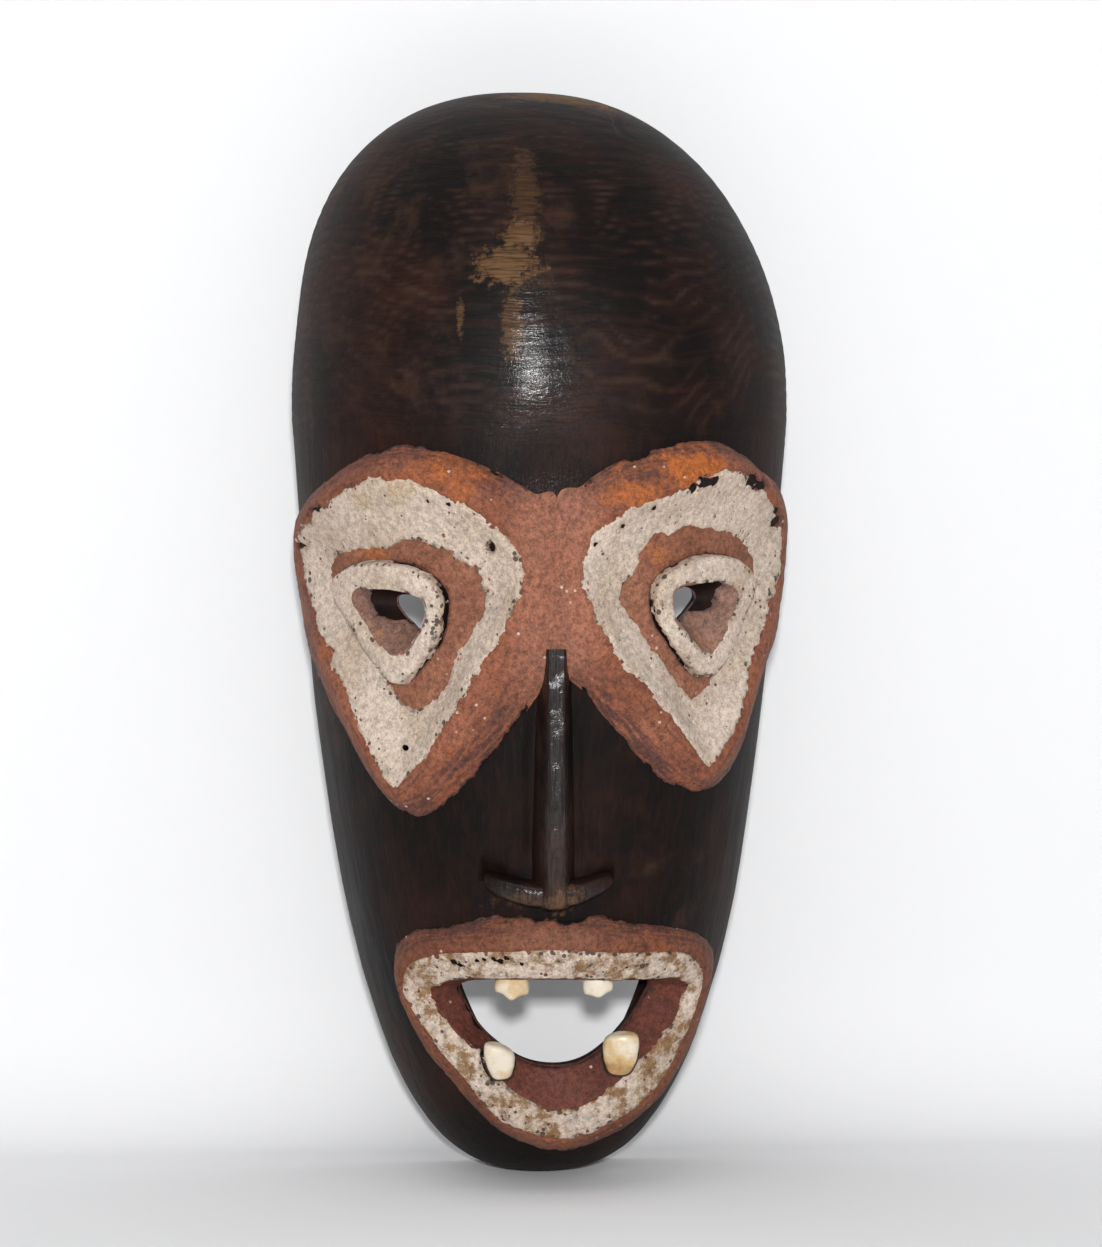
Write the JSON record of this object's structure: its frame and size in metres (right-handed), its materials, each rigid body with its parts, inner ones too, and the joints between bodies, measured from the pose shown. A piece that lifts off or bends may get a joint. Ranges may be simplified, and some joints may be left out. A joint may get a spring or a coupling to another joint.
{
  "type": "carved wooden mask",
  "caption": "Tall hollowed wooden face mask with raised goggle eyes, a thin nose and an open mouth with bedded teeth, its eyes and lips coated in red and white clay.",
  "frame": {"origin": "middle of the flat back rim, half way between chin and crown", "axes": "+Z towards the crown, the face looks along -Y, +Y out of the flat back rim, +X to the right as the face is looked at"},
  "size_m": [0.1738, 0.107, 0.38],
  "materials": {
    "dark_wood": "dark stained, satin, worn brown on the high edges",
    "ochre_clay": "matte red ochre clay, brushed on thickly",
    "kaolin_clay": "matte white kaolin clay, grainy and pitted",
    "tooth": "satin ivory enamel, yellowed towards the root",
    "resin": "dark brown plant resin"
  },
  "bodies": {
    "root": {"mask_body": "dark_wood", "brow_ochre": "ochre_clay", "left_kaolin_band": "kaolin_clay", "right_kaolin_band": "kaolin_clay", "left_ochre_dish": "ochre_clay", "right_ochre_dish": "ochre_clay", "left_kaolin_lid": "kaolin_clay", "right_kaolin_lid": "kaolin_clay", "left_ochre_well": "ochre_clay", "right_ochre_well": "ochre_clay", "lip_ochre": "ochre_clay", "lip_kaolin": "kaolin_clay", "mouth_ochre": "ochre_clay", "upper_left_tooth": "tooth", "upper_right_tooth": "tooth", "lower_left_tooth": "tooth", "lower_right_tooth": "tooth", "upper_left_resin": "resin", "upper_right_resin": "resin", "lower_left_resin": "resin", "lower_right_resin": "resin"}
  },
  "joints": []
}
